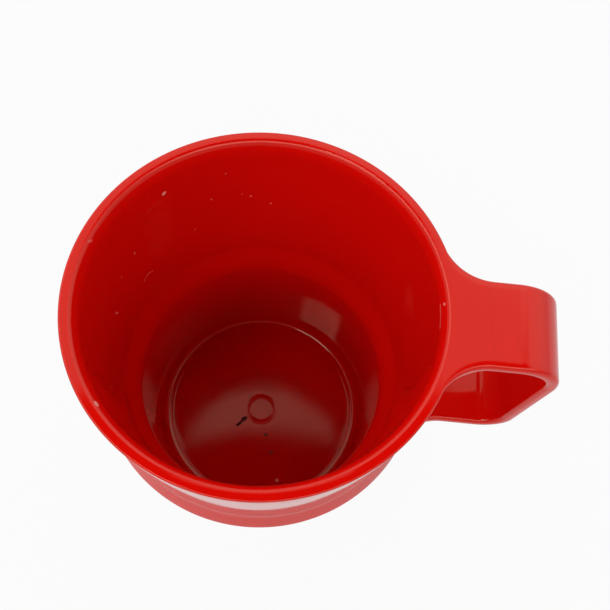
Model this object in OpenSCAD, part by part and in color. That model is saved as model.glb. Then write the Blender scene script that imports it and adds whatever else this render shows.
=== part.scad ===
// Stacking mug with a strap handle, moulded in one piece.
// Lengths are in millimetres. The foot stands on z = 0, the bowl's axis is
// the z axis, and the handle points along +x. Depths are measured down from
// the top of the rim.

/* [Rim and wall] */
// Diameter over the rim
rim_d = 84; // [78:0.5:94]
// Height from the foot to the top of the rim
mug_h = 84.4; // [78:0.1:96]
// Thickness of the side wall
wall_t = 3.5; // [3.2:0.1:4]
// Lean of the side wall from upright, in degrees
wall_lean = 5.3; // [3:0.1:7]
// Rounding of the rim's outer edge
rim_outer_round = 0.5; // [0.4:0.1:1.1]
// Width of the curve at the rim's inner edge
lip_across = 1.7; // [1:0.1:1.9]
// Depth over which the inner curve runs down into the wall
lip_drop = 4; // [2:0.1:6]

/* [Stacking bead] */
// Depth of the bead's widest edge below the rim
bead_depth = 43.2; // [38:0.1:46]
// Height of the bead's sloping skirt, above its widest edge
bead_h = 5.4; // [3:0.1:8]
// How far the widest edge stands out past the wall at the top of the skirt
bead_out = 1.55; // [1:0.05:2.2]
// Depth from the widest edge to the seat under it, which is also its rounding
bead_edge = 0.9; // [0.6:0.1:1.4]
// Rounding of the corner between the seat and the lower wall
seat_round = 1.2; // [0.6:0.1:2]

/* [Inner ledge] */
// How far the wall steps in at the ledge
ledge_in = 2.6; // [1.4:0.1:3.8]
// Depth at which the ledge starts
ledge_top = 42.5; // [36:0.5:44]
// Height over which the wall steps in
ledge_h = 8.5; // [7:0.5:16]

/* [Floor and foot] */
// Thickness of the floor
floor_t = 2.6; // [2:0.1:4]
// Width of the curve between the floor and the wall, inside
floor_curve = 2.9; // [1.6:0.1:5]
// Height of that curve
floor_rise = 1.6; // [1:0.1:4]
// Height of the hollow under the floor, inside the foot ring
foot_hollow = 1; // [0.6:0.1:2]
// Width of the flat ring that the mug stands on
foot_w = 2.6; // [1.6:0.1:4]
// Rounding of the foot's outer edge
foot_round = 1.6; // [0.8:0.1:3]
// Draft of the hollow's side, measured across
hollow_draft = 0.6; // [0.2:0.1:1.2]
// Diameter of the fine ring moulded in the middle of the floor
mark_d = 7.8; // [5:0.1:12]
// Width of the ring's groove
mark_w = 0.5; // [0.3:0.05:0.8]
// Depth of the ring's groove
mark_depth = 0.08; // [0.04:0.02:0.2]

/* [Handle] */
// Width of the strap
strap_w = 20; // [15:0.5:24]
// Thickness of the strap
strap_t = 3; // [2.6:0.1:4]
// Rounding of the strap's long edges
strap_round = 1.2; // [0.6:0.1:1.3]
// How far the handle stands out past the rim
handle_out = 23.4; // [20:0.1:30]
// Outside radius of the upper bend
upper_bend = 10.5; // [7:0.1:12]
// Outside radius of the lower bend
lower_bend = 8.4; // [6:0.1:12]
// Lean of the outer stretch towards the bowl at its foot, in degrees
strap_lean = 6.4; // [0:0.1:10]
// Gap left between the handles of two stacked mugs
handle_gap = 1.6; // [0.8:0.1:4]
// Radius, seen from above, at which the strap spreads into the wall
root_fillet = 12.5; // [8:0.1:14]
// How far the spread runs into the wall, so that the two join in a fine crease
root_bite = 0.3; // [0.3:0.1:1]
// Fillet between the wall and the inside faces of the strap
web_fillet = 2.2; // [1:0.1:3]

/* [Hidden] */
$fn = 144;
// Steps round an edge of the bowl, round an edge of the strap, down the ledge
// and along the two curves inside the bowl
arc_steps = 6;
section_steps = 4;
ledge_steps = 18;
curve_steps = 9;
// Extra length that carries a cut clear of the surface it opens
clear = 2;
// How far a bend reaches into the flat stretches, in degrees, and how far it
// lies inside their faces there
bend_lap = 1.5;
bend_inset = 0.01;
// How far the ends of a fillet's curve lie inside the wall and the strap
web_sink = 0.01;
mug_red = [0.84, 0.16, 0.11];

rim_r = rim_d / 2;
wall_across = wall_t / cos(wall_lean);
floor_z = foot_hollow + floor_t;
seat_depth = bead_depth + bead_edge;
skirt_depth = bead_depth - bead_h;
skirt_r = outer_r(skirt_depth);
bead_r = skirt_r + bead_out;
handle_h = seat_depth - handle_gap;

// Points on an arc of radius r round c, from angle a to angle b, in n steps
function arc(c, r, a, b, n) =
    [for (i = [0:n])
        let (t = a + (b - a) * i / n)
        c + r * [cos(t), sin(t)]];

// Points on the curve that leaves p towards q and arrives at s from q, so
// that it rounds the corner at q
function corner(p, q, s) =
    [for (i = [0:arc_steps])
        let (t = i / arc_steps)
        (1 - t) * (1 - t) * p + 2 * t * (1 - t) * q + t * t * s];

// Radius of the outer wall above the bead, at depth d
function outer_r(d) =
    rim_r - (d - rim_outer_round) * tan(wall_lean) + rim_outer_round * (1 / cos(wall_lean) - 1);

// Share of the ledge that is passed at depth d: 0 above it and 1 below it
function ledge_share(d) = (1 - cos(180 * min(1, max(0, (d - ledge_top) / ledge_h)))) / 2;

// Radius of the inside of the bowl at depth d
function inner_r(d) = outer_r(d) - wall_across - ledge_in * ledge_share(d);

// Radius of the lower wall, outside, at depth d
function lower_r(d) = inner_r(d) + wall_across;

// The outside of the bowl, turned about its axis and solid to the middle
module bowl_blank() {
    nose = [bead_r - bead_edge, mug_h - bead_depth];
    skirt = [skirt_r, mug_h - skirt_depth] - nose;
    skirt_angle = atan2(skirt.y, skirt.x) - acos(bead_edge / norm(skirt));
    seat_z = mug_h - seat_depth;
    seat_r = lower_r(seat_depth);
    below_seat = seat_depth + seat_round;
    ledge_end = max(below_seat, ledge_top + ledge_h);
    foot_r = lower_r(mug_h - foot_round) - foot_round / cos(wall_lean);
    hollow_r = foot_r - foot_w;
    rim_c = [rim_r - rim_outer_round, mug_h - rim_outer_round];
    rotate_extrude()
        polygon(concat(
            [[0, foot_hollow], [hollow_r - hollow_draft, foot_hollow], [hollow_r, 0]],
            arc([foot_r, foot_round], foot_round, -90, -wall_lean, arc_steps),
            [for (i = [ledge_steps:-1:1])
                let (d = below_seat + (ledge_end - below_seat) * i / ledge_steps)
                [lower_r(d), mug_h - d]],
            corner(
                [lower_r(below_seat), mug_h - below_seat],
                [seat_r, seat_z],
                [seat_r + seat_round, seat_z]
            ),
            arc(nose, bead_edge, -90, skirt_angle, arc_steps),
            [nose + skirt],
            arc(rim_c, rim_outer_round, -wall_lean, 90, arc_steps),
            [[0, mug_h]]
        ));
}

// The space inside the bowl. The curves at the rim's inner edge and at the
// floor are quarters of an ellipse, which leave the leaning wall without a
// corner. In the middle of the floor is the groove of the moulded ring.
module bowl_space() {
    lip_r = inner_r(0) + lip_across;
    mark_r = mark_d / 2;
    rotate_extrude()
        polygon(concat(
            [
                [0, floor_z],
                [mark_r - mark_w / 2, floor_z],
                [mark_r, floor_z - mark_depth],
                [mark_r + mark_w / 2, floor_z]
            ],
            [for (i = [0:curve_steps])
                let (t = 90 * (1 - i / curve_steps), z = floor_z + floor_rise * (1 - sin(t)))
                [inner_r(mug_h - z) - floor_curve * (1 - cos(t)), z]],
            [for (i = [ledge_steps:-1:0])
                let (d = ledge_top + ledge_h * i / ledge_steps)
                [inner_r(d), mug_h - d]],
            [for (i = [0:curve_steps])
                let (t = 90 * i / curve_steps, d = lip_drop * (1 - sin(t)))
                [inner_r(d) + lip_across * (1 - cos(t)), mug_h - d]],
            [[lip_r, mug_h + clear], [0, mug_h + clear]]
        ));
}

// Outline of the strap's section, inset on all sides: x runs out through its
// thickness and y across its width
module strap_section(inset = 0) {
    e = strap_round;
    v = strap_w / 2 - e;
    polygon(concat(
        arc([strap_t - e, v], e - inset, 0, 90, section_steps),
        arc([e, v], e - inset, 90, 180, section_steps),
        arc([e, -v], e - inset, 180, 270, section_steps),
        arc([strap_t - e, -v], e - inset, 270, 360, section_steps)
    ));
}

// Outline of what is cut from the side of a plate, measured from the middle
// of a root fillet: it leaves the strap's rounded edge
module edge_cut() {
    q = root_fillet + strap_round;
    polygon(concat(
        [[0, -clear], [q, -clear]],
        arc([q, strap_round], strap_round, -90, -180, section_steps),
        arc([q, strap_t - strap_round], strap_round, 180, 90, section_steps),
        [[q, strap_t + clear], [0, strap_t + clear]]
    ));
}

// A flat stretch of the strap, from a wall of radius r, where it spreads in
// two round fillets, out to x = last
module root_plate(r, last) {
    reach = r - root_bite + root_fillet;
    across = strap_w / 2 + root_fillet;
    middle = sqrt(reach * reach - across * across);
    spread = across * r / reach;
    inside = middle * (r - wall_t) / reach;
    difference() {
        translate([inside, -spread, 0])
            cube([last - inside, 2 * spread, strap_t]);
        for (side = [0, 1])
            mirror([0, side, 0])
                translate([middle, across, 0]) {
                    rotate([0, 0, 180])
                        rotate_extrude(angle = 90)
                            edge_cut();
                    rotate([90, 0, 90])
                        linear_extrude(last - middle + clear)
                            mirror([1, 0])
                                edge_cut();
                }
    }
}

// A bend of outside radius r about c, from angle a to angle b seen from the
// side. Its ends reach into the flat stretches, a hair inside their faces.
module bend(c, r, a, b) {
    translate([c.x, 0, c.y])
        rotate([90, 0, 0])
            rotate([0, 0, a - bend_lap])
                rotate_extrude(angle = b - a + 2 * bend_lap)
                    translate([r - strap_t, 0])
                        strap_section(bend_inset);
}

// The strap: a plate flush with the rim, two bends with a leaning stretch
// between them, and a plate back to the bowl at the bead
module strap() {
    upper = [rim_r + handle_out - upper_bend, mug_h - upper_bend];
    lower_z = mug_h - handle_h + lower_bend;
    fall = upper.y - lower_z;
    lower = [upper.x + (upper_bend - lower_bend - fall * sin(strap_lean)) / cos(strap_lean), lower_z];
    run = (upper.x - lower.x) * sin(strap_lean) + fall * cos(strap_lean);
    translate([0, 0, mug_h - strap_t])
        root_plate(rim_r, upper.x);
    bend(upper, upper_bend, -strap_lean, 90);
    translate([lower.x, 0, lower.y])
        rotate([0, strap_lean, 0])
            linear_extrude(run)
                translate([lower_bend - strap_t, 0])
                    strap_section();
    bend(lower, lower_bend, -90, -strap_lean);
    translate([0, 0, mug_h - handle_h])
        root_plate(bead_r, lower.x);
}

// Outline of a fillet between the outer wall and a level face of the strap at
// depth d. The strap lies above the face where down is 1 and below it where
// down is -1, and the wall is at radius r where the two meet.
module web_outline(d, r, down) {
    wall = [outer_r(d + down * web_fillet) - web_sink, -d - down * web_fillet];
    edge = [r + web_fillet, down * web_sink - d];
    buried = down * strap_t / 2;
    polygon(concat(
        [[r - wall_t / 2, wall.y]],
        corner(wall, [r, -d], edge),
        [[edge.x, buried - d], [r - wall_t / 2, buried - d]]
    ));
}

// Fillets between the wall and the strap, above and below the finger gap
module webs() {
    across = strap_w - 2 * strap_round;
    under_top = strap_t;
    over_bottom = handle_h - strap_t;
    intersection() {
        translate([0, 0, mug_h])
            rotate_extrude() {
                web_outline(under_top, outer_r(under_top), 1);
                web_outline(over_bottom, max(outer_r(over_bottom), skirt_r), -1);
            }
        translate([0, -across / 2, 0])
            cube([rim_r + handle_out, across, mug_h]);
    }
}

module mug() {
    color(mug_red)
        difference() {
            union() {
                bowl_blank();
                strap();
                webs();
            }
            bowl_space();
        }
}

mug();
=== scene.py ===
# %% [markdown]
# # A red melamine stacking mug
#
# The real thing is one moulding: melamine powder is pressed hot in a steel
# mould, so bowl, seating bead, foot and strap handle are one hard, glossy
# body. Here it becomes one closed mesh. Its sections are worked out with
# numpy, because every form on it is either a profile turned round the mug's
# axis or a section carried along the handle's path.
#
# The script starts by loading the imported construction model. That model fixes
# the place and size of the mug, and the mesh that is made here stands for it.

# %% Load the frame
import math

import bmesh
import bpy
import numpy as np
from mathutils import Matrix, Vector


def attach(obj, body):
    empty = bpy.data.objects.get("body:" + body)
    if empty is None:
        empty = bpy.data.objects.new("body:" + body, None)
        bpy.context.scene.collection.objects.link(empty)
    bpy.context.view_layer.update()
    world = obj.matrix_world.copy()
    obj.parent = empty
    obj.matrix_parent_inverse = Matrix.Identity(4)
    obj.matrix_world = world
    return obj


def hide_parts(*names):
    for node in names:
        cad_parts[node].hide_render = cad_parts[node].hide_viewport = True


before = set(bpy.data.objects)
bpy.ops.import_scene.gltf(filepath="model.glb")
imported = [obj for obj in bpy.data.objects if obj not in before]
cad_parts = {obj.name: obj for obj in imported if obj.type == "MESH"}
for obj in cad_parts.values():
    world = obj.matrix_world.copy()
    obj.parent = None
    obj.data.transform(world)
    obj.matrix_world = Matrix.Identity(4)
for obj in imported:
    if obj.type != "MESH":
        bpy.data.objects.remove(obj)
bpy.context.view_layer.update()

# %% [markdown]
# ## The camera
#
# The photograph looks steeply down into the mug from close by. The rim, the
# bead and the ring round the floor are circles on one axis, so their ellipses
# in the photograph give the camera's direction and distance. The values below
# are the turn from the mug's axes to the camera's, the place of the rim's
# middle as the camera sees it, and the lens.

# %% Camera
MM = 0.001
photo_px = 610
focal_px = 850
sensor_mm = 36.0
lens_mm = sensor_mm * focal_px / photo_px
rim_r = 42.0                               # mm
mug_h = 84.4                               # mm
handle_azimuth = math.radians(1.21)        # where the handle is, round the axis in the camera's fit
camera_turn = (2.7274, 0.1625, 0.0338)     # a turn about this direction, by its length in radians
rim_seen = (-0.2177, -0.0267, 4.2359)      # middle of the rim from the camera, in rim radii


def turn_matrix(vector):
    """The rotation about the vector's direction by the vector's length in radians."""
    angle = math.sqrt(sum(v * v for v in vector))
    return Matrix.Rotation(angle, 3, Vector(vector) / angle)


to_camera = turn_matrix(camera_turn) @ Matrix.Rotation(handle_azimuth, 3, "Z")
place = Vector((0, 0, mug_h)) - to_camera.transposed() @ Vector(rim_seen) * rim_r
look = to_camera.transposed() @ Matrix(((1, 0, 0), (0, -1, 0), (0, 0, -1)))

lens = bpy.data.cameras.new("photo_view")
lens.sensor_width = sensor_mm
lens.lens = lens_mm
lens.clip_start = 0.01
camera = bpy.data.objects.new("photo_view", lens)
camera.matrix_world = Matrix.Translation(place * MM) @ look.to_4x4()
bpy.context.scene.collection.objects.link(camera)
bpy.context.scene.camera = camera
print("camera at", [round(v, 1) for v in place], "mm, turned",
      [round(math.degrees(v), 2) for v in look.to_euler()], "degrees, lens", round(lens_mm, 2), "mm")

# %% [markdown]
# ## Floor and light
#
# The mug stands on plain white in a softly lit room. The camera sees the floor
# and the sky as white. The gloss sees the floor darker, as the pale band under
# the rim shows in the photograph. The room itself is drawn in the sky: a few
# white panels with soft edges, each at a turn round the mug and between two
# height angles. They were found by following the photograph's reflections back
# from the mug to the place that each one shows. One narrow bright panel makes
# the patch on the wall inside, and a panel with a round lamp makes the shape on
# the mug's floor.


# %% Floor
def new_material(name):
    """A material with a node tree, and the tree's nodes and links."""
    material = bpy.data.materials.new(name)
    material.use_nodes = True
    nodes, links = material.node_tree.nodes, material.node_tree.links
    return material, nodes, links


def add_node(nodes, kind, operation):
    """A new node of a kind that does one of several operations."""
    node = nodes.new(kind)
    node.operation = operation
    return node


floor_white = (0.62, 0.62, 0.62, 1)
floor_glow = 0.93                          # share of plain white that the camera sees in the floor
floor_mirror = 0.60                        # share of plain white that the gloss sees in it
paper_roughness, paper_specular = 0.9, 0.2
half = 1.5                                 # m, half the floor's side

paper, nodes, links = new_material("white_paper")
paper_shader = nodes["Principled BSDF"]
paper_shader.inputs["Base Color"].default_value = floor_white
paper_shader.inputs["Roughness"].default_value = paper_roughness
paper_shader.inputs["Specular IOR Level"].default_value = paper_specular
ray = nodes.new("ShaderNodeLightPath")
mirrored = add_node(nodes, "ShaderNodeMath", "MULTIPLY")
mirrored.inputs[1].default_value = floor_mirror
links.new(ray.outputs["Is Glossy Ray"], mirrored.inputs[0])
share = add_node(nodes, "ShaderNodeMath", "MULTIPLY_ADD")
share.inputs[1].default_value = floor_glow
links.new(ray.outputs["Is Camera Ray"], share.inputs[0])
links.new(mirrored.outputs[0], share.inputs[2])
glow = nodes.new("ShaderNodeEmission")
mix = nodes.new("ShaderNodeMixShader")
links.new(share.outputs[0], mix.inputs["Fac"])
links.new(paper_shader.outputs[0], mix.inputs[1])
links.new(glow.outputs[0], mix.inputs[2])
links.new(mix.outputs[0], nodes["Material Output"].inputs["Surface"])

sheet = bpy.data.meshes.new("floor")
corners = [(-half, -half, 0), (half, -half, 0), (half, half, 0), (-half, half, 0)]
sheet.from_pydata(corners, [], [(0, 1, 2, 3)])
sheet.materials.append(paper)
floor = bpy.data.objects.new("floor", sheet)
bpy.context.scene.collection.objects.link(floor)
print("floor of", 2 * half, "m")

# %% World
world = bpy.data.worlds.new("white_room")
bpy.context.scene.world = world
world.use_nodes = True
nodes, links = world.node_tree.nodes, world.node_tree.links
TO_DEGREES = 180 / math.pi
lamp_soft, cut_soft = 0.25, 0.6            # degrees, half of the round lamp's soft edges
direction = nodes.new("ShaderNodeTexCoord").outputs["Generated"]


def math_node(operation, first, second=0.0, clamp=False):
    """The result of one Math node on two sockets or numbers, in the node tree that is being made."""
    node = add_node(nodes, "ShaderNodeMath", operation)
    node.use_clamp = clamp
    for socket, value in zip(node.inputs, (first, second)):
        if isinstance(value, (int, float)):
            socket.default_value = value
        else:
            links.new(value, socket)
    return node.outputs[0]


def soft_step(value, low, high):
    """0 below low, 1 above high and smooth between, or the other way round where high is the smaller."""
    node = nodes.new("ShaderNodeMapRange")
    node.interpolation_type = "SMOOTHSTEP"
    turned_round = high < low
    node.inputs["From Min"].default_value = min(low, high)
    node.inputs["From Max"].default_value = max(low, high)
    node.inputs["To Min"].default_value = 1.0 if turned_round else 0.0
    node.inputs["To Max"].default_value = 0.0 if turned_round else 1.0
    links.new(value, node.inputs["Value"])
    return node.outputs["Result"]


axes = nodes.new("ShaderNodeSeparateXYZ")
links.new(direction, axes.inputs[0])
height_angle = math_node("MULTIPLY", math_node("ARCSINE", axes.outputs["Z"]), TO_DEGREES)


def panel(strength, turn, half_width, low, high, side_soft=20.0, low_soft=10.0, high_soft=10.0):
    """A soft white panel in the sky: its middle is at a turn round the mug in degrees, and it reaches from
    one height angle to another. The way round from its middle is the arc cosine of the level direction's
    share along that middle."""
    level = add_node(nodes, "ShaderNodeVectorMath", "MULTIPLY")
    links.new(direction, level.inputs[0])
    level.inputs[1].default_value = (1, 1, 0)
    unit = add_node(nodes, "ShaderNodeVectorMath", "NORMALIZE")
    links.new(level.outputs[0], unit.inputs[0])
    facing = add_node(nodes, "ShaderNodeVectorMath", "DOT_PRODUCT")
    links.new(unit.outputs[0], facing.inputs[0])
    a = math.radians(turn)
    facing.inputs[1].default_value = (math.cos(a), math.sin(a), 0)
    way_round = math_node("MULTIPLY", math_node("ARCCOSINE", facing.outputs["Value"]), TO_DEGREES)
    inside_sides = soft_step(way_round, half_width + side_soft / 2, half_width - side_soft / 2)
    above = soft_step(height_angle, low - low_soft / 2, low + low_soft / 2)
    below = soft_step(height_angle, high + high_soft / 2, high - high_soft / 2)
    inside = math_node("MULTIPLY", inside_sides, math_node("MULTIPLY", above, below))
    return math_node("MULTIPLY", inside, strength)


def round_lamp(strength, turn, height, radius, cut):
    """A soft round lamp at a turn and a height angle, hidden above the angle cut. Its edge is where the arc
    cosine of the direction's share along the lamp's middle equals the radius."""
    a, h = math.radians(turn), math.radians(height)
    facing = add_node(nodes, "ShaderNodeVectorMath", "DOT_PRODUCT")
    links.new(direction, facing.inputs[0])
    facing.inputs[1].default_value = (math.cos(h) * math.cos(a), math.cos(h) * math.sin(a), math.sin(h))
    away = math_node("MULTIPLY", math_node("ARCCOSINE", facing.outputs["Value"]), TO_DEGREES)
    inside = soft_step(away, radius + lamp_soft, radius - lamp_soft)
    below = soft_step(height_angle, cut + cut_soft, cut - cut_soft)
    return math_node("MULTIPLY", math_node("MULTIPLY", inside, below), strength)


# Each panel: strength, turn, half width, lowest and highest height angle. The lamp: strength, turn,
# height angle, radius, cut. All but the strengths are in degrees.
lights = [
    panel(0.42, 90, 200, -90, 54, high_soft=16),
    panel(0.35, 90, 75, -90, 52, side_soft=60),
    panel(1.00, 210, 115, 30, 47, side_soft=60),
    panel(0.40, 40, 60, 12, 60, side_soft=60, low_soft=30, high_soft=6),
    panel(1.25, 235, 95, 28, 48, side_soft=60),
    panel(0.75, 195, 55, 45, 57, side_soft=40, high_soft=6),
    panel(4.50, 222, 18, 55.5, 63, side_soft=6, low_soft=2, high_soft=2),
    panel(0.85, 95, 50, 50, 69, high_soft=2),
    round_lamp(0.78, 96, 77.6, 5.3, 75.0),
]
sky_light = lights[0]
for extra in lights[1:]:
    sky_light = math_node("ADD", sky_light, extra)
sky = nodes["Background"]
sky.inputs["Color"].default_value = (1, 1, 1, 1)
seen_straight = nodes.new("ShaderNodeLightPath").outputs["Is Camera Ray"]
unseen = math_node("MULTIPLY", sky_light, math_node("SUBTRACT", 1.0, seen_straight))
sky_seen = math_node("ADD", unseen, seen_straight)
links.new(sky_seen, sky.inputs["Strength"])
bpy.context.scene.view_settings.view_transform = "Standard"
print("sky of", len(lights), "soft lights")

# %% [markdown]
# ## The sizes of the mug
#
# These are the construction model's own values, in millimetres. Depths are
# measured down from the top of the rim. Only the fine ring moulded in the
# floor is shallower here, because in the photograph it hardly shows.

# %% Sizes
wall_t = 3.5
lean = math.radians(5.3)
rim_outer_round = 0.5
lip_across, lip_drop = 1.7, 4.0
bead_depth, bead_h, bead_out, bead_edge, seat_round = 43.2, 5.4, 1.55, 0.9, 1.2
ledge_in, ledge_top, ledge_h = 2.6, 42.5, 8.5
floor_t, floor_curve, floor_rise = 2.6, 2.9, 1.6
foot_hollow, foot_w, foot_round, hollow_draft = 1.0, 2.6, 1.6, 0.6
mark_r, mark_w, mark_depth = 3.9, 0.5, 0.03
strap_w, strap_t, strap_round, handle_out = 20.0, 3.0, 1.2, 23.4
upper_bend, lower_bend, strap_lean, handle_h = 10.5, 8.4, math.radians(6.4), 42.5
root_fillet, web_fillet = 12.5, 2.2

wall_across = wall_t / math.cos(lean)
floor_z = foot_hollow + floor_t
seat_depth = bead_depth + bead_edge
skirt_depth = bead_depth - bead_h


def outer_r(depth):
    """Radius of the leaning outer wall: the rim's radius less the depth times the slope."""
    return rim_r - (depth - rim_outer_round) * np.tan(lean) + rim_outer_round * (1 / np.cos(lean) - 1)


def inner_r(depth):
    """Radius of the inside: the outer wall less its thickness, less the ledge, which is half a wave."""
    share = np.clip((depth - ledge_top) / ledge_h, 0, 1)
    return outer_r(depth) - wall_across - ledge_in * (1 - np.cos(np.pi * share)) / 2


def lower_r(depth):
    """Radius of the outside below the bead: the inside plus the wall's thickness."""
    return inner_r(depth) + wall_across


skirt_r = float(outer_r(skirt_depth))
bead_r = skirt_r + bead_out
print("bead", round(2 * bead_r, 2), "mm across, wall above it", round(2 * skirt_r, 2), "mm")

# %% [markdown]
# ## The bowl's profile
#
# Cut through its axis, the bowl is one closed outline: from the middle of the
# hollow under the foot, out round the foot, up the outside over the bead to
# the rim, over the rim, and down the inside to the middle of the floor. Each
# edge is a short arc, because a moulded edge is never sharp, and each arc has
# enough points for a smooth highlight.


# %% Profile
def arc(centre, radius, start, end, count):
    """Points on a circle round centre, from the start angle to the end angle in degrees."""
    t = np.radians(np.linspace(start, end, count + 1))
    return np.stack([centre[0] + radius * np.cos(t), centre[1] + radius * np.sin(t)], 1)


def rounded(before, corner, after, count):
    """A curve that leaves before towards corner and reaches after: its points are (1-t)^2, 2t(1-t) and t^2
    shares of the three."""
    t = np.linspace(0, 1, count + 1)[:, None]
    return (1 - t) ** 2 * np.array(before) + 2 * t * (1 - t) * np.array(corner) + t ** 2 * np.array(after)


def line(start, end, count):
    """Points along a straight line without its two ends."""
    t = np.linspace(0, 1, count + 2)[1:-1, None]
    return (1 - t) * np.array(start) + t * np.array(end)


lean_deg = math.degrees(lean)
foot_r = float(lower_r(mug_h - foot_round)) - foot_round / math.cos(lean)
hollow_r = foot_r - foot_w
below_seat = seat_depth + seat_round
ledge_end = max(below_seat, ledge_top + ledge_h)
seat_r = float(lower_r(seat_depth))
seat_z = mug_h - seat_depth
nose = np.array([bead_r - bead_edge, mug_h - bead_depth])
skirt = np.array([skirt_r, mug_h - skirt_depth]) - nose
skirt_angle = math.degrees(math.atan2(skirt[1], skirt[0]) - math.acos(bead_edge / np.hypot(*skirt)))
lean_in = np.array([math.sin(lean), math.cos(lean)])
foot_top = arc((foot_r, foot_round), foot_round, -90, -lean_deg, 10)
seat_start = (lower_r(below_seat), mug_h - below_seat)
seat_corner = rounded(seat_start, (seat_r, seat_z), (seat_r + seat_round, seat_z), 8)
nose_arc = arc(nose, bead_edge, -90, skirt_angle, 12)
skirt_top = nose + skirt
valley = 0.35                              # mm, reach of the small curve over the skirt
skirt_way = (nose_arc[-1] - skirt_top) / np.hypot(*(nose_arc[-1] - skirt_top))
skirt_valley = rounded(skirt_top + valley * skirt_way, skirt_top, skirt_top + valley * lean_in, 4)
rim_outer = arc((rim_r - rim_outer_round, mug_h - rim_outer_round), rim_outer_round, -lean_deg, 90, 12)
lower_depths = np.linspace(ledge_end, below_seat, 14)[:-1]
lower_wall = np.stack([lower_r(lower_depths), mug_h - lower_depths], 1)

edge_in = 0.3                              # mm, reach of the small curves at the edges of the hollow
hollow_side = np.array([hollow_r, 0.0]) - np.array([hollow_r - hollow_draft, foot_hollow])
hollow_side /= np.hypot(*hollow_side)
hollow_top = np.array([hollow_r - hollow_draft, foot_hollow])
outside = np.concatenate([
    [[0, foot_hollow]], line((0, foot_hollow), (hollow_top[0] - edge_in, foot_hollow), 4),
    rounded(hollow_top - [edge_in, 0], hollow_top, hollow_top + edge_in * hollow_side, 4),
    rounded(np.array([hollow_r, 0]) - edge_in * hollow_side, (hollow_r, 0), (hollow_r + edge_in, 0), 4),
    line((hollow_r + edge_in, 0), foot_top[0], 2), foot_top,
    line(foot_top[-1], lower_wall[0], 6), lower_wall,
    seat_corner, line(seat_corner[-1], nose_arc[0], 2), nose_arc,
    line(nose_arc[-1], skirt_valley[0], 2), skirt_valley,
    line(skirt_valley[-1], rim_outer[0], 8), rim_outer,
])

lip_turn = np.radians(np.linspace(90, 0, 21))
lip_depth = lip_drop * (1 - np.sin(lip_turn))
lip = np.stack([inner_r(lip_depth) + lip_across * (1 - np.cos(lip_turn)), mug_h - lip_depth], 1)
ledge_depths = np.linspace(ledge_top, ledge_top + ledge_h, 25)
ledge = np.stack([inner_r(ledge_depths), mug_h - ledge_depths], 1)
floor_way = np.radians(np.linspace(0, 90, 19))
floor_depth = mug_h - floor_z - floor_rise * (1 - np.sin(floor_way))
floor_turn_r = inner_r(floor_depth) - floor_curve * (1 - np.cos(floor_way))
floor_turn = np.stack([floor_turn_r, mug_h - floor_depth], 1)

groove_way = np.linspace(1, -1, 9)
groove_r = mark_r + mark_w / 2 * groove_way
groove = np.stack([groove_r, floor_z - mark_depth * (1 + np.cos(np.pi * groove_way)) / 2], 1)
inside = np.concatenate([
    line(rim_outer[-1], lip[0], 1), lip,
    line(lip[-1], ledge[0], 8), ledge,
    line(ledge[-1], floor_turn[0], 6), floor_turn,
    line(floor_turn[-1], groove[0], 14), groove,
    line(groove[-1], (0, floor_z), 4), [[0, floor_z]],
])
profile = np.concatenate([outside, inside])
print("profile of", len(profile), "points, foot ring",
      round(2 * hollow_r, 1), "to", round(2 * foot_r, 1), "mm")

# %% [markdown]
# ## Turning the bowl
#
# Blender's Screw modifier can turn a profile too. The grid is made here with
# numpy instead, because the two ends of the profile lie on the axis and have
# to close in a single point each, and because the same few lines then serve
# every turned form.


# %% Turn a profile into a closed solid
def put_mesh(name, points_mm, faces):
    """A mesh object at the origin from points in millimetres and faces."""
    mesh = bpy.data.meshes.new(name)
    mesh.from_pydata((points_mm * MM).tolist(), [], faces)
    mesh.validate()
    piece = bpy.data.objects.new(name, mesh)
    bpy.context.scene.collection.objects.link(piece)
    return piece


def grid_faces(rows, columns, wrap):
    """Quads between neighbouring rows and columns of a grid; wrap joins the last column to the first."""
    across = np.arange(columns if wrap else columns - 1)
    here = np.arange(rows - 1)[:, None] * columns + across
    next_column = np.arange(rows - 1)[:, None] * columns + (across + 1) % columns
    return np.stack([here, next_column, next_column + columns, here + columns], -1).reshape(-1, 4)


def turned(name, outline, turns):
    """Each profile point becomes a ring of x = r cos a, y = r sin a, and each of the two ends on the axis
    stays one point."""
    angle = np.linspace(0, 2 * np.pi, turns, endpoint=False)
    r, z = outline[1:-1, 0][:, None], outline[1:-1, 1][:, None]
    rings = np.stack([r * np.cos(angle), r * np.sin(angle), z + 0 * angle], -1).reshape(-1, 3)
    points = np.concatenate([rings, [[0, 0, outline[0, 1]], [0, 0, outline[-1, 1]]]])
    faces = grid_faces(len(r), turns, True).tolist()
    first, last, top = np.arange(turns), (np.arange(turns) + 1) % turns, (len(r) - 1) * turns
    faces += np.stack([np.full(turns, len(rings)), last, first], 1).tolist()
    faces += np.stack([np.full(turns, len(rings) + 1), top + first, top + last], 1).tolist()
    return put_mesh(name, points, faces)


TURNS = 408
bowl = turned("bowl", profile, TURNS)
print("bowl of", len(bowl.data.vertices), "points")

# %% [markdown]
# ## The handle
#
# The handle is a flat strap that starts flush with the rim as a plate, bends
# down, leans back in a little and bends again into a second plate at the
# bead. Where it meets the bowl it spreads in two round fillets. It is made as
# rows across the strap. Every row knows the strap's outer face, the half
# width there and the direction in which its edge faces, and the same rounded
# section is laid on every row. An extruded curve with a bevel can't do that,
# because its section can't widen without getting thicker.

# %% Path of the strap
upper = np.array([rim_r + handle_out - upper_bend, mug_h - upper_bend])
lower_z = mug_h - handle_h + lower_bend
fall = upper[1] - lower_z
lower_shift = (upper_bend - lower_bend - fall * math.sin(strap_lean)) / math.cos(strap_lean)
lower = np.array([upper[0] + lower_shift, lower_z])
start_turn = 1.5                           # degrees, how far past its nearest point the edge starts
straight_steps = 12


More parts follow.
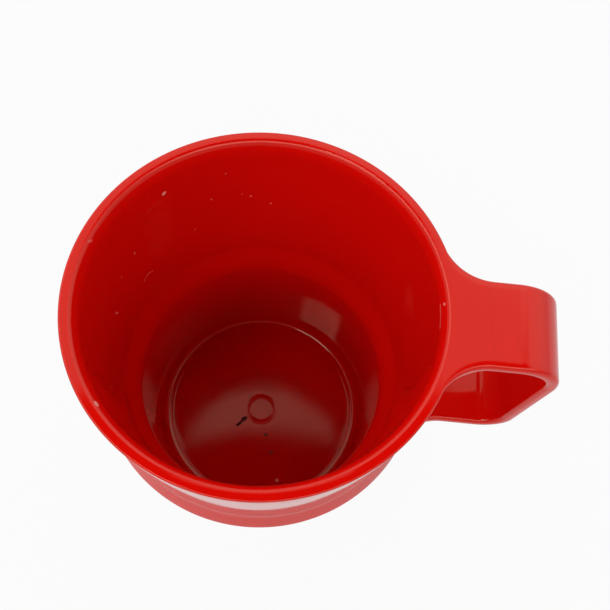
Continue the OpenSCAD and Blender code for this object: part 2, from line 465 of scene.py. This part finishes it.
def root_rows(reach, last, count):
    """The rows of a plate from the wall to x = last: x of the edge, half width, and the edge's inward
    direction. The edge follows a circle of radius root_fillet that comes to within reach of the axis, and
    then runs straight."""
    across = strap_w / 2 + root_fillet
    middle = math.sqrt((reach + root_fillet) ** 2 - across ** 2)
    nearest = 180 + math.degrees(math.atan2(across, middle))
    a = np.radians(np.linspace(nearest + start_turn, 270, count))
    inward = np.stack([np.cos(a), np.sin(a)], 1)
    edge = np.array([middle, across]) + root_fillet * inward
    straight = np.linspace(middle, last, straight_steps)[1:]
    edge = np.concatenate([edge, np.stack([straight, np.full(len(straight), strap_w / 2)], 1)])
    inward = np.concatenate([inward, np.tile([0, -1.0], (len(straight), 1))])
    return edge, inward


def plate_part(reach, last, face_z, up, count):
    """Rows of a flat plate as columns: place of the outer face (x, z), its normal, the way along, half
    width, inward direction (along, across), how far the row bows to follow the round wall, and the rounding
    of the edge."""
    edge, inward = root_rows(reach, last, count)
    n = len(edge)
    steepest = math.sin(math.atan2(strap_w / 2 + root_fillet, last))
    turned_away = np.clip((inward[:, 1] + 1) / (1 - steepest), 0, 1)
    bow = turned_away ** 2 * (3 - 2 * turned_away)
    return {
        "x": edge[:, 0], "z": np.full(n, face_z), "nx": np.zeros(n), "nz": np.full(n, up),
        "tx": np.ones(n), "tz": np.zeros(n), "half": edge[:, 1],
        "in_along": inward[:, 0], "in_across": inward[:, 1], "bow": bow,
        "round": strap_round + (rim_outer_round - strap_round) * bow,
    }


def bend_part(centre, radius, start, end, count):
    """Rows round a bend: the outer face is radius times the direction from the bend's centre."""
    a = np.linspace(start, end, count)
    n = len(a)
    return {
        "x": centre[0] + radius * np.cos(a), "z": centre[1] + radius * np.sin(a),
        "nx": np.cos(a), "nz": np.sin(a), "tx": np.sin(a), "tz": -np.cos(a),
        "half": np.full(n, strap_w / 2), "in_along": np.zeros(n), "in_across": np.full(n, -1.0),
        "bow": np.zeros(n), "round": np.full(n, strap_round),
    }


top_reach, low_reach = rim_r - 0.12, 38.9  # mm, how near the axis the edges come, inside the wall's face
flush_gap = 0.004                          # the plate starts this much low, so that no two faces coincide
top_plate = plate_part(top_reach, upper[0], mug_h - flush_gap, 1.0, 34)
low_plate = plate_part(low_reach, lower[0], mug_h - handle_h, -1.0, 34)
upper_rows = bend_part(upper, upper_bend - flush_gap, math.pi / 2, -strap_lean, 34)
lower_rows = bend_part(lower, lower_bend, -strap_lean, -math.pi / 2, 30)
middle_way = np.linspace(0, 1, 10)[1:-1]
middle_rows = {k: (1 - middle_way) * upper_rows[k][-1] + middle_way * lower_rows[k][0] for k in upper_rows}
low_plate = {k: v[::-1].copy() for k, v in low_plate.items()}
low_plate["tx"] *= -1
low_plate["in_along"] *= -1
parts = [top_plate, {k: v[1:] for k, v in upper_rows.items()}, middle_rows,
         lower_rows, {k: v[1:] for k, v in low_plate.items()}]
rows = {k: np.concatenate([p[k] for p in parts]) for k in top_plate}
print("strap of", len(rows["x"]), "rows")

# %% Section of the strap
EDGE_STEPS, FACE_STEPS = 7, 22
edge_turn = np.radians(np.linspace(0, 90, EDGE_STEPS + 1))
corner_in, corner_down = 1 - np.cos(edge_turn), 1 - np.sin(edge_turn)
flat = np.linspace(-1, 1, FACE_STEPS + 1)[1:-1]


def strap_points():
    """Every row's section: place + along * (inset * inward) - normal * depth, and across from the half
    width."""
    r = {k: v[:, None] for k, v in rows.items()}
    loops = []
    for face in (0, 1):
        columns = []
        for hand in (1, -1):
            inset, down = corner_in * r["round"], corner_down * r["round"]
            depth = down if face == 0 else strap_t - down
            along = inset * r["in_along"]
            across = hand * (r["half"] + inset * r["in_across"])
            columns.append((along, depth + 0 * along, across))
        along_i = r["round"] * r["in_along"]
        half_i = r["half"] + r["round"] * r["in_across"]
        x_i = r["x"] + r["tx"] * along_i
        radius = np.hypot(x_i, half_i)
        y = -flat * half_i
        follow = np.sqrt(radius ** 2 - y ** 2) - np.sqrt(radius ** 2 - half_i ** 2)
        bow = r["bow"] * follow * np.where(r["tx"] < 0, -1, 1)
        middle = (along_i + bow, (0 if face == 0 else strap_t) + 0 * y, y)
        right, left = columns[0], [c[:, ::-1] for c in columns[1]]
        loops.append([np.concatenate([right[i], middle[i], left[i]], 1) for i in range(3)])
    top, bottom = loops
    along, depth, across = [np.concatenate([top[i], bottom[i][:, ::-1]], 1) for i in range(3)]
    x = r["x"] + r["tx"] * along - r["nx"] * depth
    z = r["z"] + r["tz"] * along - r["nz"] * depth
    return np.stack([x, across, z], -1)


sections = strap_points()


def tucked(section, inward, squeeze):
    """The same section moved towards the axis and squeezed in height, so that it lies inside the wall."""
    flat_way = section[:, :2] / np.hypot(section[:, 0], section[:, 1])[:, None]
    out = section.copy()
    out[:, :2] -= inward * flat_way
    middle = (section[:, 2].max() + section[:, 2].min()) / 2
    out[:, 2] = middle + squeeze * (section[:, 2] - middle)
    return out


first_tucked = tucked(sections[0], inward=0.9, squeeze=0.5)
last_tucked = tucked(sections[-1], inward=1.6, squeeze=0.8)
sections = np.concatenate([[first_tucked], sections, [last_tucked]])
count, loop = sections.shape[:2]
faces = grid_faces(count, loop, True)
half_loop = loop // 2
a = np.arange(half_loop - 1)
cap = np.stack([a, a + 1, loop - 2 - a, loop - 1 - a], 1)
faces = np.concatenate([faces, cap[:, ::-1], cap + (count - 1) * loop])
strap = put_mesh("strap", sections.reshape(-1, 3), faces.tolist())
print("strap of", len(strap.data.vertices), "points")

# %% [markdown]
# ## Fillets under the handle's roots
#
# Inside the finger gap the strap meets the wall in a small hollow fillet. It
# is a short turned form that gets smaller towards the edges of the strap and
# is buried in the wall and the plate, so that only the hollow curve shows.


# %% Root fillets
bury = 1.1                                 # mm, how far a fillet reaches into the wall and the plate
least = 0.02                               # mm, size of a fillet at its two ends


def web(name, corner_r, wall_r, face_z, down, flat_angle, end_angle):
    """A fillet whose size falls smoothly from web_fillet to nothing between two angles. Its curve runs from
    the wall at that distance from the face, by way of the corner, to the face at that distance from the
    wall."""
    a = np.radians(np.linspace(-end_angle, end_angle, 61))
    t = np.clip((np.degrees(np.abs(a)) - flat_angle) / (end_angle - flat_angle), 0, 1)
    size = (web_fillet * (1 - t * t * (3 - 2 * t)) + least)[:, None]
    share = np.linspace(0, 1, 13)
    wall_point = (wall_r(size), face_z - down * size)
    r = (1 - share) ** 2 * wall_point[0] + 2 * share * (1 - share) * corner_r
    r = r + share ** 2 * (corner_r + size)
    z = (1 - share) ** 2 * wall_point[1] + (1 - (1 - share) ** 2) * face_z
    r = np.concatenate([r, corner_r + size, corner_r - bury + 0 * size, wall_point[0] - bury], 1)
    buried_z = face_z + down * bury + 0 * size
    z = np.concatenate([z, buried_z, buried_z, wall_point[1]], 1)
    a = a[:, None]
    points = np.stack([r * np.cos(a), r * np.sin(a), z], -1)
    rows_n, loop_n = points.shape[:2]
    faces = grid_faces(rows_n, loop_n, True).tolist()
    faces += [list(range(loop_n))[::-1], [(rows_n - 1) * loop_n + i for i in range(loop_n)]]
    return put_mesh(name, points.reshape(-1, 3), faces)


under_z = mug_h - strap_t
over_z = mug_h - handle_h + strap_t


def skirt_at(z):
    """Radius of the outside near the bead's skirt at height z: the skirt's slope below its top and the wall
    above."""
    share = (skirt_top[1] - z) / (skirt_top[1] - nose_arc[-1][1])
    return np.where(share > 0, skirt_top[0] + share * (nose_arc[-1][0] - skirt_top[0]), outer_r(mug_h - z))


def wall_under(size):
    """Radius of the outer wall at a distance under the top plate."""
    return outer_r(strap_t + size)


def wall_over(size):
    """Radius of the outside at a distance over the lower plate."""
    return skirt_at(over_z + size)


top_corner_r, low_corner_r = float(outer_r(strap_t)), float(skirt_at(over_z))
web_top = web("web_top", top_corner_r, wall_under, under_z, down=1.0, flat_angle=8.0, end_angle=17.0)
web_low = web("web_low", low_corner_r, wall_over, over_z, down=-1.0, flat_angle=8.0, end_angle=15.0)
print("fillets under the roots made")

# %% [markdown]
# ## One moulding
#
# The Boolean modifier joins the four closed solids into one, as they are in
# the real moulding. The top plate starts 0.004 mm low, because the exact solver
# is surest where no two faces lie in one plane, and its points are raised to
# the height of the rim afterwards.


# %% Join the solids
merge_distance = 5e-7                      # m
sharp_angle = math.radians(32)


def face_out(piece):
    """Turns every face of a closed solid outwards."""
    bm = bmesh.new()
    bm.from_mesh(piece.data)
    bmesh.ops.recalc_face_normals(bm, faces=bm.faces)
    volume = bm.calc_volume(signed=True)
    if volume < 0:
        bmesh.ops.reverse_faces(bm, faces=bm.faces)
    open_edges = sum(1 for e in bm.edges if len(e.link_faces) != 2)
    bm.to_mesh(piece.data)
    bm.free()
    print(piece.name, "volume", round(abs(volume) * 1e9), "mm3, open edges", open_edges)


for solid in (bowl, strap, web_top, web_low):
    face_out(solid)

for tool in (strap, web_top, web_low):
    union = bowl.modifiers.new("join_" + tool.name, "BOOLEAN")
    union.operation = "UNION"
    union.solver = "EXACT"
    union.object = tool
ready = bowl.evaluated_get(bpy.context.evaluated_depsgraph_get())
joined = bpy.data.meshes.new_from_object(ready)
mug = bpy.data.objects.new("mug_body", joined)
bpy.context.scene.collection.objects.link(mug)
for solid in (bowl, strap, web_top, web_low):
    bpy.data.objects.remove(solid)
bm = bmesh.new()
bm.from_mesh(mug.data)
bmesh.ops.remove_doubles(bm, verts=bm.verts, dist=merge_distance)
bmesh.ops.dissolve_degenerate(bm, edges=bm.edges, dist=merge_distance)
bmesh.ops.recalc_face_normals(bm, faces=bm.faces)
volume = bm.calc_volume(signed=True)
open_edges = sum(1 for e in bm.edges if len(e.link_faces) != 2)
bm.to_mesh(mug.data)
bm.free()
print("mug volume", round(volume * 1e9), "mm3, open edges", open_edges, "faces", len(mug.data.polygons))

places = np.empty(len(mug.data.vertices) * 3, np.float32)
mug.data.vertices.foreach_get("co", places)
places = places.reshape(-1, 3)
low = places[:, 2] > (mug_h - 1.5 * flush_gap) * MM
places[low, 2] = mug_h * MM
mug.data.vertices.foreach_set("co", places.ravel())
mug.data.update()
print("flush points on the rim and the plate:", int(low.sum()))

mug.data.shade_smooth()
mug.data.set_sharp_from_angle(angle=sharp_angle)

# %% [markdown]
# ## The melamine
#
# Melamine is a hard, opaque plastic, coloured all the way through and polished
# by the mould, so it is one strong red under a clear gloss. Used melamine is
# never quite even: the gloss is a little duller in patches, the surface has a
# slight ripple, and spoons and washing leave fine hairlines. All of it is
# procedural and reads Object coordinates, so it stays on the surface from
# every side and needs no unwrapping. One node group draws any straight stroke.

# %% Marks node group
marks_group = bpy.data.node_groups.new("stroke_mask", "ShaderNodeTree")
for name in ("Place", "Start", "Along"):
    marks_group.interface.new_socket(name, in_out="INPUT", socket_type="NodeSocketVector")
for name in ("Half width", "Soft edge"):
    marks_group.interface.new_socket(name, in_out="INPUT", socket_type="NodeSocketFloat")
marks_group.interface.new_socket("Mask", in_out="OUTPUT", socket_type="NodeSocketFloat")


def fill_stroke_group(group):
    """1 near a straight stroke and 0 away from it. The stroke's nearest point is start + h * along, where
    h is (place - start) . along / along . along kept between 0 and 1, and the mask falls smoothly from the
    half width over the soft edge."""
    nodes, links = group.nodes, group.links
    given, result = nodes.new("NodeGroupInput"), nodes.new("NodeGroupOutput")
    offset = add_node(nodes, "ShaderNodeVectorMath", "SUBTRACT")
    projected = add_node(nodes, "ShaderNodeVectorMath", "DOT_PRODUCT")
    length_squared = add_node(nodes, "ShaderNodeVectorMath", "DOT_PRODUCT")
    share = add_node(nodes, "ShaderNodeMath", "DIVIDE")
    share.use_clamp = True
    nearest = add_node(nodes, "ShaderNodeVectorMath", "SCALE")
    apart = add_node(nodes, "ShaderNodeVectorMath", "DISTANCE")
    outer = add_node(nodes, "ShaderNodeMath", "ADD")
    fade = nodes.new("ShaderNodeMapRange")
    fade.interpolation_type = "SMOOTHSTEP"
    fade.inputs["To Min"].default_value = 1.0
    fade.inputs["To Max"].default_value = 0.0
    for start, end in (
        (given.outputs["Place"], offset.inputs[0]), (given.outputs["Start"], offset.inputs[1]),
        (offset.outputs[0], projected.inputs[0]), (given.outputs["Along"], projected.inputs[1]),
        (given.outputs["Along"], length_squared.inputs[0]),
        (given.outputs["Along"], length_squared.inputs[1]),
        (projected.outputs["Value"], share.inputs[0]),
        (length_squared.outputs["Value"], share.inputs[1]),
        (given.outputs["Along"], nearest.inputs[0]), (share.outputs[0], nearest.inputs["Scale"]),
        (offset.outputs[0], apart.inputs[0]), (nearest.outputs[0], apart.inputs[1]),
        (given.outputs["Half width"], outer.inputs[0]), (given.outputs["Soft edge"], outer.inputs[1]),
        (apart.outputs["Value"], fade.inputs["Value"]),
        (given.outputs["Half width"], fade.inputs["From Min"]),
        (outer.outputs[0], fade.inputs["From Max"]), (fade.outputs["Result"], result.inputs["Mask"]),
    ):
        links.new(start, end)


fill_stroke_group(marks_group)
print("stroke group of", len(marks_group.nodes), "nodes")

# %% [markdown]
# ## Where the marks are
#
# The mug has been used. A black crumb, dark dots and a pale speck lie on its
# floor, a few pale specks and one scratch are on the wall, and the rim has a
# small pale chip. A pale dot on the lip by the handle and a faint pale line
# below it on the wall are painted highlight: the thin reflection of the light
# there, drawn as pale colour. There are faint wear lines on top of the handle,
# and two dull smears lie on the outside below the rim. Each mark is a short
# stroke between two points. On the wall a point is given by its turn round the
# axis and its depth, and the wall's own formula gives its radius.


# %% Places of the marks
def on_wall(turn, depth):
    """The point of the inside at a turn in degrees and a depth in millimetres below the rim."""
    a = math.radians(turn)
    r = float(inner_r(depth)) + lip_across * float(1 - np.sqrt(1 - max(0.0, 1 - depth / lip_drop) ** 2))
    return r * math.cos(a), r * math.sin(a), mug_h - depth


def on_outside(turn, depth):
    """The point of the outside, above the bead, at a turn in degrees and a depth in millimetres."""
    a = math.radians(turn)
    r = float(outer_r(depth))
    return r * math.cos(a), r * math.sin(a), mug_h - depth


def on_floor(x, y):
    """The point of the mug's floor at x and y in millimetres."""
    return x, y, floor_z


def on_top(x, y):
    """The point of the handle's top plate at x and y in millimetres."""
    return x, y, mug_h


# Each row: start, end, width in mm, soft edge in mm, strength
crumbs = [
    (on_floor(-6.4, -5.5), on_floor(-5.6, -4.8), 0.45, 0.30, 0.97),
    (on_floor(-5.0, -3.7), on_floor(-4.4, -3.2), 0.75, 0.35, 0.93),
    (on_floor(-6.2, -5.2), on_floor(-4.6, -3.4), 0.30, 0.25, 0.90),
    (on_floor(2.1, -7.5), on_floor(2.2, -7.7), 0.40, 0.35, 0.92),
    (on_floor(4.3, -12.7), on_floor(4.4, -12.8), 0.45, 0.45, 0.80),
    (on_floor(-1.3, 18.3), on_floor(-1.2, 18.3), 0.20, 0.40, 0.30),
]
pale_specks_and_highlight = [
    (on_wall(132.4, 8.1), on_wall(132.9, 8.4), 0.50, 0.30, 0.85),
    (on_wall(100.2, 19.7), on_wall(100.3, 19.8), 0.22, 0.25, 0.45),
    (on_wall(92.4, 22.7), on_wall(92.5, 22.8), 0.22, 0.25, 0.45),
    (on_wall(115.5, 18.2), on_wall(115.7, 18.4), 0.15, 0.25, 0.30),
    (on_wall(109.0, 9.6), on_wall(109.2, 9.7), 0.12, 0.22, 0.28),
    (on_wall(103.5, 18.6), on_wall(103.6, 18.7), 0.12, 0.22, 0.28),
    (on_wall(124.0, 28.0), on_wall(124.2, 28.2), 0.12, 0.22, 0.22),
    (on_wall(151.6, 19.6), on_wall(151.6, 20.3), 0.15, 0.22, 0.42),
    (on_wall(161.5, 21.5), on_wall(161.7, 21.8), 0.14, 0.22, 0.28),
    (on_wall(172.6, 27.4), on_wall(171.6, 28.7), 0.28, 0.28, 0.34),
    (on_wall(-157.3, 26.3), on_wall(-157.0, 26.6), 0.22, 0.25, 0.35),
    (on_wall(165.7, 0.5), on_wall(164.9, 0.9), 0.20, 0.30, 0.22),
    # painted highlight: this pale dot on the lip by the handle is the light's reflection there, drawn as
    # colour
    (on_wall(5.4, 1.2), on_wall(5.6, 1.3), 0.28, 0.25, 0.50),
    (on_floor(6.7, -20.5), on_floor(6.8, -20.6), 0.45, 0.45, 0.75),
]
scratches_and_highlight = [
    (on_wall(152.8, 33.3), on_wall(149.5, 32.2), 0.07, 0.14, 0.45),
    (on_wall(149.5, 32.2), on_wall(146.9, 33.1), 0.07, 0.14, 0.38),
    # painted highlight: this faint pale line down the wall by the handle is the light's thin reflection,
    # drawn as colour
    (on_wall(6.2, 2.8), on_wall(-1.6, 3.1), 0.10, 0.30, 0.26),
    (on_wall(-139.8, 0.45), on_wall(-139.0, 0.45), 0.45, 0.30, 0.60),
]
hairlines = [
    (on_top(47.8, 8.2), on_top(48.3, 1.5), 0.08, 0.35, 0.16),
    (on_top(48.3, 1.5), on_top(49.4, -6.9), 0.08, 0.35, 0.18),
    (on_top(50.2, 6.4), on_top(50.6, -3.0), 0.08, 0.25, 0.08),
    (on_top(53.9, -2.4), on_top(54.6, -5.2), 0.14, 0.50, 0.20),
    (on_top(54.6, -5.2), on_top(58.8, -7.5), 0.14, 0.50, 0.16),
    (on_top(54.0, -2.4), on_top(58.5, -1.6), 0.14, 0.50, 0.14),
    (on_outside(-78.2, 4.3), on_outside(-76.0, 4.7), 0.35, 0.50, 0.60),
    (on_outside(-74.8, 5.0), on_outside(-72.8, 5.6), 0.25, 0.40, 0.50),
]
print(len(crumbs), "crumbs,", len(pale_specks_and_highlight), "specks,",
      len(scratches_and_highlight), "scratches and", len(hairlines), "hairlines")

# %% Melamine
melamine, nodes, links = new_material("red_melamine")
shader = nodes["Principled BSDF"]
melamine_red = (0.68, 0.003, 0.001, 1)
crumb_black = (0.012, 0.004, 0.004, 1)
# pale pink of the specks, the scratch and the chip, and of the painted highlight by the handle
speck_and_highlight_pale = (0.86, 0.42, 0.36, 1)
worn_red = (0.50, 0.004, 0.003, 1)
melamine_ior = 1.5
mirror_tint = (1.0, 0.86, 0.66, 1)
shader.inputs["IOR"].default_value = melamine_ior
shader.inputs["Specular Tint"].default_value = mirror_tint
place = nodes.new("ShaderNodeTexCoord").outputs["Object"]


def noise(size_mm, detail):
    """The value of a noise texture on Object coordinates, with its scale given as the size of a feature."""
    node = nodes.new("ShaderNodeTexNoise")
    links.new(place, node.inputs["Vector"])
    node.inputs["Scale"].default_value = 1 / (size_mm * MM)
    node.inputs["Detail"].default_value = detail
    return node.outputs[0]


def spread(value, from_low, from_high, to_low, to_high):
    """A value moved from one range to another."""
    node = nodes.new("ShaderNodeMapRange")
    for socket, number in zip(node.inputs[1:5], (from_low, from_high, to_low, to_high)):
        socket.default_value = number
    links.new(value, node.inputs["Value"])
    return node.outputs["Result"]


def strokes(rows):
    """The strongest of the strokes' masks at each place."""
    total = 0.0
    for start, end, width, soft, strength in rows:
        node = nodes.new("ShaderNodeGroup")
        node.node_tree = marks_group
        links.new(place, node.inputs["Place"])
        node.inputs["Start"].default_value = [v * MM for v in start]
        node.inputs["Along"].default_value = [(b - a) * MM for a, b in zip(start, end)]
        node.inputs["Half width"].default_value = width / 2 * MM
        node.inputs["Soft edge"].default_value = soft * MM
        mask = math_node("MULTIPLY", node.outputs["Mask"], strength)
        total = math_node("MAXIMUM", mask, total)
    return total


def blended(share, first, second):
    """A colour that goes from first to second as share goes from 0 to 1."""
    node = nodes.new("ShaderNodeMix")
    node.data_type = "RGBA"
    links.new(share, node.inputs["Factor"])
    for name, value in (("A", first), ("B", second)):
        socket = [i for i in node.inputs if i.name == name and i.type == "RGBA"][0]
        if isinstance(value, tuple):
            socket.default_value = value
        else:
            links.new(value, socket)
    return [o for o in node.outputs if o.type == "RGBA"][0]


print("melamine helpers ready")

# %% Colour of the melamine
cloud_mm, cloud_share = 30, 0.10
cloudy = spread(noise(cloud_mm, 3.0), 0.35, 0.65, 0.0, cloud_share)
crumb_mask = strokes(crumbs)
# the speck and scratch masks also hold the painted highlight by the handle
speck_and_highlight_mask = strokes(pale_specks_and_highlight)
scratch_and_highlight_mask = strokes(scratches_and_highlight)
hairline_mask = strokes(hairlines)
pale_and_highlight_mask = math_node("MAXIMUM", speck_and_highlight_mask, scratch_and_highlight_mask)
colour = blended(cloudy, melamine_red, worn_red)
colour = blended(hairline_mask, colour, worn_red)
# pale colour on the specks, the scratches and the painted highlight by the handle
colour = blended(pale_and_highlight_mask, colour, speck_and_highlight_pale)
colour = blended(crumb_mask, colour, crumb_black)
links.new(colour, shader.inputs["Base Color"])
print("red", melamine_red[:3], "with worn red in clouds of up to", cloud_share)

# %% [markdown]
# ## Gloss and surface
#
# The gloss is dull where there are crumbs, specks and lines, and on the painted
# highlight by the handle, a little uneven all over and a little duller on the
# floor, where spoons rub. The bump is two layers: a ripple as long as a
# fingernail from the moulding, and a fine grain.

# %% Gloss and bump
patch_mm, least_rough, most_rough = 9, 0.035, 0.065
floor_rough, mark_rough, hairline_share = 0.01, 0.45, 0.5
rub_start, rub_full = 2, 0.2               # mm above the floor, where the rubbed zone begins and is full
gloss = spread(noise(patch_mm, 4.0), 0.3, 0.7, least_rough, most_rough)
split_place = nodes.new("ShaderNodeSeparateXYZ")
links.new(place, split_place.inputs[0])
rubbed = (floor_z + rub_start) * MM, (floor_z + rub_full) * MM
on_the_floor = spread(split_place.outputs["Z"], *rubbed, 0.0, 1.0)
gloss = math_node("ADD", gloss, math_node("MULTIPLY", on_the_floor, floor_rough))
hairline_dull = math_node("MULTIPLY", hairline_mask, hairline_share)
marks = math_node("MAXIMUM", math_node("MAXIMUM", crumb_mask, pale_and_highlight_mask), hairline_dull)
gloss = math_node("ADD", gloss, math_node("MULTIPLY", marks, mark_rough), clamp=True)
links.new(gloss, shader.inputs["Roughness"])

ripple_mm, ripple_deep = 7, 0.012
grain_mm, grain_deep = 0.5, 0.0005
ripple_height = math_node("MULTIPLY", noise(ripple_mm, 1.0), ripple_deep)
grain_height = math_node("MULTIPLY", noise(grain_mm, 2.0), grain_deep)
height = math_node("ADD", ripple_height, grain_height)
bump = nodes.new("ShaderNodeBump")
bump.inputs["Strength"].default_value = 1.0
bump.inputs["Distance"].default_value = MM
links.new(height, bump.inputs["Height"])
links.new(bump.outputs[0], shader.inputs["Normal"])
mug.data.materials.clear()
mug.data.materials.append(melamine)
print("melamine of", len(nodes), "nodes")

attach(mug, "root")
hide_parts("mug")
